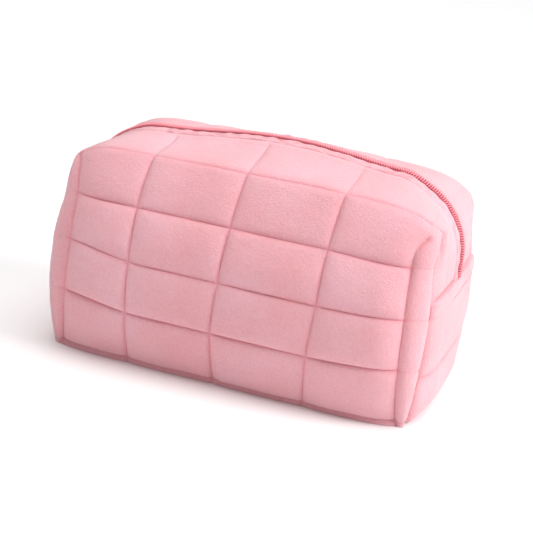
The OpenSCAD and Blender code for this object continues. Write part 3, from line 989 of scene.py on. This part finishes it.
def zip_tube(name, section, count, rear, cloth, slot, seed=None):
    """A ribbon along the zip with a closed section of (y, depth) points. With a seed it is ruffled."""
    path, _, normal, _ = zip_line(count)
    section = np.array(section, float)
    rings = np.zeros((count, len(section), 3))
    rings[:, :, 0] = path[:, 0, None] - normal[:, 0, None] * section[None, :, 1]
    rings[:, :, 2] = path[:, 1, None] - normal[:, 1, None] * section[None, :, 1]
    rings[:, :, 1] = -section[None, :, 0]
    crease_shade = None
    if seed is not None:
        rings, crease_shade = ruffled(rings, section, normal, seed)
    obj = capped_tube(name, mirrored(rings, y=rear), crease_shade)
    finish_piece(obj, cloth, slot, name)
    bend(obj)
    return obj


def facing_section():
    """The folded velvet edge beside the coil: a soft roll, then a dip where it is gathered."""
    y = np.linspace(2.7, 9.5, 20)
    depth = np.interp(y, FACING_Y, FACING_DEPTH)
    return [*zip(y, depth), (9.5, 2.3), (2.7, 1.7)]


def tooth_shade(y, a):
    """How much painted shade a tooth's point gets, 0 to 1, at y across the zip and a round the tooth: most
    near the zip's middle and on the teeth's sides and undersides, none on their tops.
    """
    if y < 0.5:
        return 0.8
    return max(0.0, (0.8 if y < 2.4 else 0.35) - 0.9 * math.sin(a))


def tooth_points(c, t, n, rear):
    """The points of a tooth at c on the zip, ring by ring across it, and the painted shade of each."""
    points, low = [], []
    for y, w, h in zip(TOOTH_Y, TOOTH_WIDE, TOOTH_HIGH):
        slant = TOOTH_SLANT * (y - 1.4)
        for a in np.linspace(0, 2 * math.pi, TOOTH_SIDES + 1)[:-1]:
            along = slant + w * math.cos(a)
            up = COIL_LIFT - (0.8 - h) + h * math.sin(a)
            q = c + t * along + n * up
            points.append((q[0], y if rear else -y, q[1]))
            low.append(tooth_shade(y, a))
    return points, low


def coil(name, rear):
    """One row of the zip's coil: a rounded loop for each tooth."""
    path, tangent, normal, length = zip_line(PATH_POINTS)
    d = np.linspace(0, length, PATH_POINTS)
    points, faces, low = [], [], []
    for i in range(int(length / TOOTH_PITCH)):
        at = (i + (0.5 if rear else 0.0)) * TOOTH_PITCH + 0.4
        if at > length - 0.4:
            continue
        c, t, n = (np.array([np.interp(at, d, line[:, 0]), np.interp(at, d, line[:, 1])])
                   for line in (path, tangent, normal))
        first = len(points)
        more, depths = tooth_points(c, t, n, rear)
        points += more
        # low gathers each point's painted shade for the coil's material
        low += depths
        k = first + np.arange(len(more)).reshape(-1, TOOTH_SIDES)
        faces += ring_faces(k) + [k[0][::-1].tolist(), k[-1].tolist()]
    obj = outward(mesh(name, np.array(points) * MM, faces, np.array(low)))
    finish_piece(obj, nylon, "zip_coil", name)
    bend(obj)


for rear in (False, True):
    key = "rear" if rear else "front"
    facing = zip_tube(f"{key}_zip_facing", facing_section(), 420, rear, velvet, "facing", 81 + rear)
    strip = zip_tube(f"{key}_zip_tape", TAPE_SECTION, 240, rear, tape, "zip_tape")
    zip_line(2)[3] * MM
    coil(f"{key}_zip_coil", rear)


# ---------------- the base
# The underside's rings, from the rim inwards: how far in, and how high
UNDERSIDE = [(1.2, 0.6), (1.6, 0.15), (2.6, 0.0), (5.6, 0.0), (6.4, 0.12), (7.2, 0.0), (30, 0.0)]
BASE_TOP = 1.2
# How far the front and the rear of the base reach out under the foot
BASE_FRONT_OUT = 4.6
# The wadding's distance from the rim, and the heights of its two faces
PAD_INSET = 5.2
PAD_LOW = 1.3
PAD_HIGH = 3.9


def drawn_in(rim, inset, z):
    """The rim made smaller by inset on each side, at height z."""
    p = rim.copy()
    p[:, :2] *= 1 - inset / np.abs(rim[:, :2]).max(0)
    p[:, 2] = z
    return p


def base_rim():
    """The bag's outline at the ground."""
    b = np.radians(np.arange(0, 360, 3))
    corner = math.sin(seam_angle(0))
    away = (np.abs(np.sin(b)) - corner) * 80
    rim = rounded_under(wall(b, np.zeros_like(b)), np.maximum(away, 0))
    rim[:, 1] += np.sign(rim[:, 1]) * BASE_FRONT_OUT * smooth((corner - np.abs(np.sin(b))) * 8)
    return rim


def base_panel(rim):
    """The velvet of the base, with a shallow groove near its edge."""
    under = [drawn_in(rim, inset, z) for inset, z in UNDERSIDE]
    over = [drawn_in(rim, inset, BASE_TOP) for inset, _ in UNDERSIDE[::-1]]
    rings = np.array(under + over)
    n, m = rings.shape[:2]
    k = np.arange(n * m).reshape(n, m)
    # the innermost ring of each face is closed with a flat cap
    faces = ring_faces(k[:n // 2]) + ring_faces(k[n // 2:])
    faces += [k[n // 2 - 1].tolist(), k[n // 2][::-1].tolist()]
    faces += ring_faces(k[[-1, 0]])
    obj = outward(mesh("base_panel", rings.reshape(-1, 3) * MM, faces))
    finish_piece(obj, velvet, "velvet", "base_panel")
    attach(obj, "base")


def base_wadding(rim):
    """The flat wadding on the base."""
    rings = np.array([drawn_in(rim, PAD_INSET, PAD_LOW), drawn_in(rim, PAD_INSET, PAD_HIGH)])
    obj = capped_tube("base_wadding", rings)
    finish_piece(obj, wadding, "batting", "base_batting")
    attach(obj, "base")


base_panel(base_rim())
base_wadding(base_rim())


# ---------------- the lining
# The wall's level from which the lower lining follows it, and the height of the lining's floor
LINING_LOW = 0.55
LINING_FLOOR = 4.6
# The depths of the faces of the wadding under the top strips and gussets
TOP_PAD_OUT = 3.86
TOP_PAD_IN = LINING_OUT - 0.04


def lower_lining():
    """The lining of the lower half, a tub."""
    v = np.linspace(LINING_LOW, 3, 40)
    b = np.linspace(0, 2 * math.pi, 200, endpoint=False)
    rings = []
    for depth, order in ((LINING_OUT, 1), (LINING_IN, -1)):
        for level in v[::order]:
            p = wall(b, np.full_like(b, level))
            p[:, :2] *= 1 - depth / row_at(level)[[2, 0]]
            p[:, 2] = np.maximum(p[:, 2], LINING_FLOOR + (depth - LINING_OUT))
            rings.append(p)
    rings = np.array(rings)
    obj = capped_tube("lower_lining", rings)
    finish_piece(obj, satin, "lining", "lower_lining")
    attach(obj, "base")


def half_layer(name, p, depths, cloth, slot, node, rear):
    """A layer of a half of the mouth, between two depths below the surface p."""
    n = normals(p)
    obj = layer(name, p - n * depths[0], p - n * depths[1], y=rear)
    finish_piece(obj, cloth, slot, node)
    bend(obj)
    return obj


def half_lining(rear):
    """The lining of a half of the mouth, and the wadding of its top strip."""
    key = "rear" if rear else "front"
    lining = (LINING_OUT, LINING_IN)
    p, _, _, w = wall_surface(per_cell=14, per_margin=6, per_row=10, per_foot=4)
    p = settled(p[w[:, 0] >= 3 - 1e-6])
    g = strip_grid(np.linspace(0, 2, 141), np.linspace(0, 1, 12))
    name = f"{key}_wall_lining"
    half_layer(name, p, lining, satin, "lining", name, rear)
    name = f"{key}_top_lining"
    half_layer(name, g, lining, satin, "lining", name, rear)
    pad = half_layer(f"{key}_top_wadding", g, (TOP_PAD_OUT, TOP_PAD_IN), wadding, "batting",
                     f"{key}_top_batting", rear)


lower_lining()
half_lining(rear=False)
half_lining(rear=True)


# ---------------- slider and pull
EDGE_SOFTNESS = 0.25 * MM

for name in ("zip_slider", "zip_pull"):
    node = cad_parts[name]
    node.data.materials.clear()
    node.data.materials.append(metal)
    bevel = node.modifiers.new("Soft_edges", "BEVEL")
    bevel.width = EDGE_SOFTNESS
    bevel.segments = 2
    bevel.limit_method = "ANGLE"


# ---------------- stage, light and camera
FLOOR_SIZE = 6.0
FLOOR_GREY = 0.84
WORLD_STRENGTH = 0.175
SUN_STRENGTH = 2.6
SUN_SPREAD = math.radians(60)
# The camera's direction round and above the bag, its roll, its distance and the point it looks at
AZIMUTH = math.radians(16.4)
ELEVATION = math.radians(18.9)
ROLL_ANGLE = math.radians(7.4)
DISTANCE = 0.8544
TARGET = (0.74 * MM, 0, 52.9 * MM)
LENS = 101.3


def floor():
    e = FLOOR_SIZE
    data = bpy.data.meshes.new("floor")
    data.from_pydata([(-e, -e, 0), (e, -e, 0), (e, e, 0), (-e, e, 0)], [], [(0, 1, 2, 3)])
    m, _, _, shader = material("floor")
    set_inputs(shader, Base_Color=(FLOOR_GREY, FLOOR_GREY, FLOOR_GREY, 1), Roughness=0.9)
    set_inputs(shader, Specular_IOR_Level=0.1, Emission_Color=(1, 1, 1, 1), Emission_Strength=0.07)
    data.materials.append(m)
    place_in_scene("floor", data)


def area_light(name, place, target, width, power):
    """A square light at place, turned to the target."""
    light = bpy.data.lights.new(name, "AREA")
    light.size = width
    light.energy = power
    obj = place_in_scene(name, light)
    obj.location = place
    obj.rotation_mode = "QUATERNION"
    obj.rotation_quaternion = (Vector(target) - Vector(place)).to_track_quat("-Z", "Y")


def lights():
    """Even light from all round and from above, with a broad light at the right and a weak one in front."""
    world = bpy.data.worlds.new("studio")
    bpy.context.scene.world = world
    world.use_nodes = True
    set_inputs(world.node_tree.nodes["Background"], Color=(1, 1, 1, 1), Strength=WORLD_STRENGTH)
    area_light("key", (1.3, 0.02, 0.85), (0, 0, 0.05), width=0.8, power=20)
    sun = bpy.data.lights.new("top", "SUN")
    sun.energy = SUN_STRENGTH
    sun.angle = SUN_SPREAD
    place_in_scene("top", sun)
    area_light("fill", (-0.1, -1.3, 0.22), (0, 0, 0.03), width=1.0, power=1.7)


def camera():
    level = math.cos(ELEVATION)
    back = Vector((math.sin(AZIMUTH) * level, -math.cos(AZIMUTH) * level, math.sin(ELEVATION)))
    right = Vector((0, 0, 1)).cross(back).normalized()
    up = back.cross(right)
    x = right * math.cos(ROLL_ANGLE) + up * math.sin(ROLL_ANGLE)
    y = -right * math.sin(ROLL_ANGLE) + up * math.cos(ROLL_ANGLE)
    data = bpy.data.cameras.new("camera")
    data.sensor_width = 36
    data.lens = LENS
    data.clip_start = 0.01
    data.clip_end = 50
    obj = place_in_scene("camera", data)
    turn = Matrix((x, y, back)).transposed().to_4x4()
    obj.matrix_world = Matrix.Translation(Vector(TARGET) + back * DISTANCE) @ turn
    bpy.context.scene.camera = obj


floor()
lights()
camera()
bpy.context.scene.view_settings.view_transform = "Standard"
